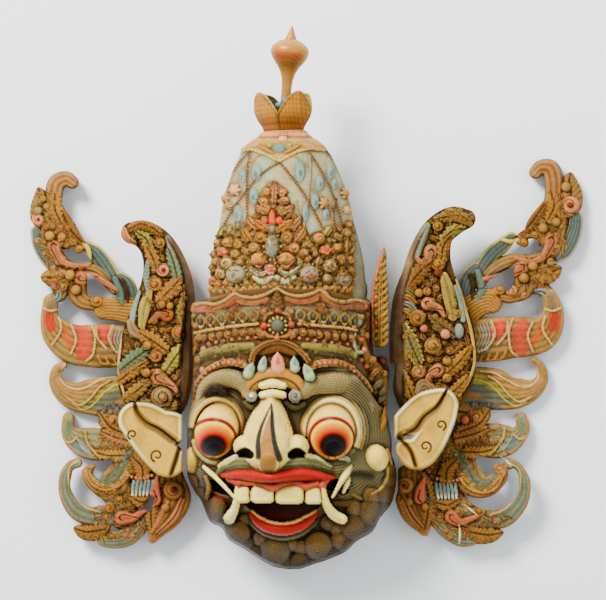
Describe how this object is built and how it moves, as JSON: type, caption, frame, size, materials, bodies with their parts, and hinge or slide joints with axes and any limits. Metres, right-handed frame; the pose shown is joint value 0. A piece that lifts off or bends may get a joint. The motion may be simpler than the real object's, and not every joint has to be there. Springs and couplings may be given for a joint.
{
  "type": "carved topeng mask",
  "caption": "Carved and painted wooden demon mask with bulging eyes, tusks, a tall domed crown with a bud finial, pierced feather wings and pointed ears, lying on its back.",
  "frame": {"origin": "centre of the bounding box's foot, on the surface that the mask lies on, at the level of its flat back rim", "axes": "+Z out of the face, away from the surface it lies on; +Y towards the top of the crown; +X towards the ear on the viewer's right"},
  "size_m": [0.5868, 0.5427, 0.1798],
  "materials": {
    "cream_face_paint": "satin paint over wood",
    "crown_paint": "worn matt paint over wood",
    "salmon_paint": "worn matt paint over wood",
    "worn_gilding": "worn gilding over wood",
    "flame_paint": "worn gilding over wood",
    "wing_gilding": "worn gilding over wood",
    "feather_paint": "worn matt paint and gilding over wood",
    "ear_paint": "satin paint over wood",
    "dark_wire": "dark oxide"
  },
  "bodies": {
    "root": {"face_mask": "cream_face_paint", "crown_dome": "crown_paint", "finial_cup": "salmon_paint", "finial_spire": "worn_gilding", "side_flame_right": "flame_paint", "inner_wing_left": "wing_gilding", "inner_wing_right": "wing_gilding", "outer_wing_left": "feather_paint", "outer_wing_right": "feather_paint", "ear_left": "ear_paint", "ear_right": "ear_paint", "hanging_loop": "dark_wire"}
  },
  "joints": []
}
